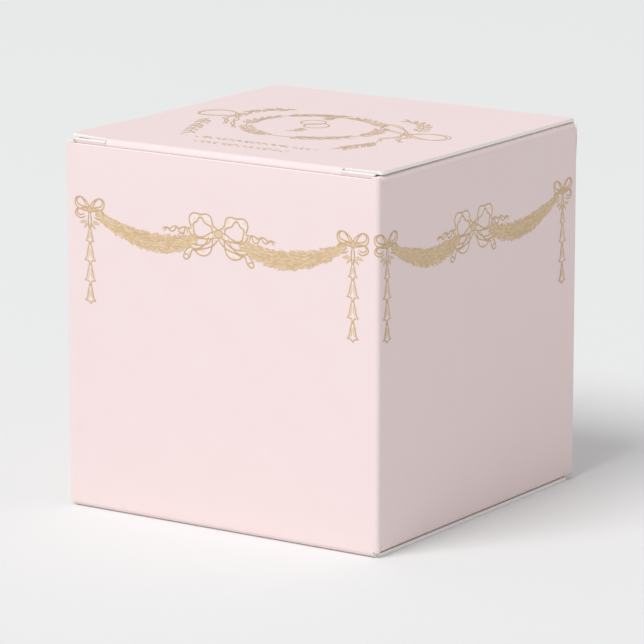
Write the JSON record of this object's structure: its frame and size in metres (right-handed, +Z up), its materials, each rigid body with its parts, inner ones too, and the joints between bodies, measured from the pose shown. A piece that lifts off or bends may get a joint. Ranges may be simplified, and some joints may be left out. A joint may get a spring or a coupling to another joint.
{
  "type": "wedding favour box",
  "caption": "Small square folding carton of printed board, with a tuck-in lid hinged at the back, a tuck-in base hinged at the front, and dust flaps under both.",
  "frame": {"origin": "middle of the box's footprint, on the surface that it stands on", "axes": "+Z up; the front wall, behind which the lid tucks in, faces -Y; the lid hinges along the back wall at +Y"},
  "size_m": [0.0508, 0.0508, 0.0517],
  "materials": {
    "printed_board": "matt",
    "folded_board": "matt",
    "glue": "satin",
    "gold_print": "satin"
  },
  "bodies": {
    "sleeve": {"front_wall": "printed_board", "right_wall": "printed_board", "back_wall": "printed_board", "left_wall": "printed_board", "front_right_fold": "folded_board", "back_right_fold": "folded_board", "seam_fold": "folded_board", "front_left_fold": "folded_board", "seam_flap": "printed_board", "seam_glue": "glue", "top_hinge_fold": "folded_board", "top_right_dust_fold": "folded_board", "top_left_dust_fold": "folded_board", "bottom_hinge_fold": "folded_board", "bottom_right_dust_fold": "folded_board", "bottom_left_dust_fold": "folded_board"},
    "lid": {"lid": "printed_board", "top_tuck_fold": "folded_board"},
    "top_tuck": {"top_tuck_flap": "printed_board"},
    "top_right_dust": {"top_right_dust_flap": "printed_board"},
    "top_left_dust": {"top_left_dust_flap": "printed_board"},
    "base": {"base": "printed_board", "bottom_tuck_fold": "folded_board"},
    "bottom_tuck": {"bottom_tuck_flap": "printed_board"},
    "bottom_right_dust": {"bottom_right_dust_flap": "printed_board"},
    "bottom_left_dust": {"bottom_left_dust_flap": "printed_board"}
  },
  "joints": [
    {"name": "lid_hinge", "type": "hinge", "parent": "sleeve", "child": "lid", "pos_m": [0, 0.02517, 0.05147], "axis": [-1, 0, 0], "range_deg": [0, 180]},
    {"name": "top_tuck_crease", "type": "hinge", "parent": "lid", "child": "top_tuck", "pos_m": [0, -0.02461, 0.05147], "axis": [-1, 0, 0], "range_deg": [0, 54]},
    {"name": "top_right_dust_crease", "type": "hinge", "parent": "sleeve", "child": "top_right_dust", "pos_m": [0.02517, 0, 0.05091], "axis": [0, 1, 0], "range_deg": [0, 108]},
    {"name": "top_left_dust_crease", "type": "hinge", "parent": "sleeve", "child": "top_left_dust", "pos_m": [-0.02517, 0, 0.05091], "axis": [0, -1, 0], "range_deg": [0, 108]},
    {"name": "base_hinge", "type": "hinge", "parent": "sleeve", "child": "base", "pos_m": [0, -0.02517, 0.00023], "axis": [-1, 0, 0], "range_deg": [0, 180]},
    {"name": "bottom_tuck_crease", "type": "hinge", "parent": "base", "child": "bottom_tuck", "pos_m": [0, 0.02461, 0.00023], "axis": [-1, 0, 0], "range_deg": [0, 54]},
    {"name": "bottom_right_dust_crease", "type": "hinge", "parent": "sleeve", "child": "bottom_right_dust", "pos_m": [0.02517, 0, 0.00079], "axis": [0, -1, 0], "range_deg": [0, 108]},
    {"name": "bottom_left_dust_crease", "type": "hinge", "parent": "sleeve", "child": "bottom_left_dust", "pos_m": [-0.02517, 0, 0.00079], "axis": [0, 1, 0], "range_deg": [0, 108]}
  ],
  "couplings": [
    {"joint": "top_tuck_crease", "follows": "lid_hinge", "ratio": 0.3},
    {"joint": "top_right_dust_crease", "follows": "lid_hinge", "ratio": 0.6},
    {"joint": "top_left_dust_crease", "follows": "lid_hinge", "ratio": 0.6},
    {"joint": "bottom_tuck_crease", "follows": "base_hinge", "ratio": 0.3},
    {"joint": "bottom_right_dust_crease", "follows": "base_hinge", "ratio": 0.6},
    {"joint": "bottom_left_dust_crease", "follows": "base_hinge", "ratio": 0.6}
  ]
}
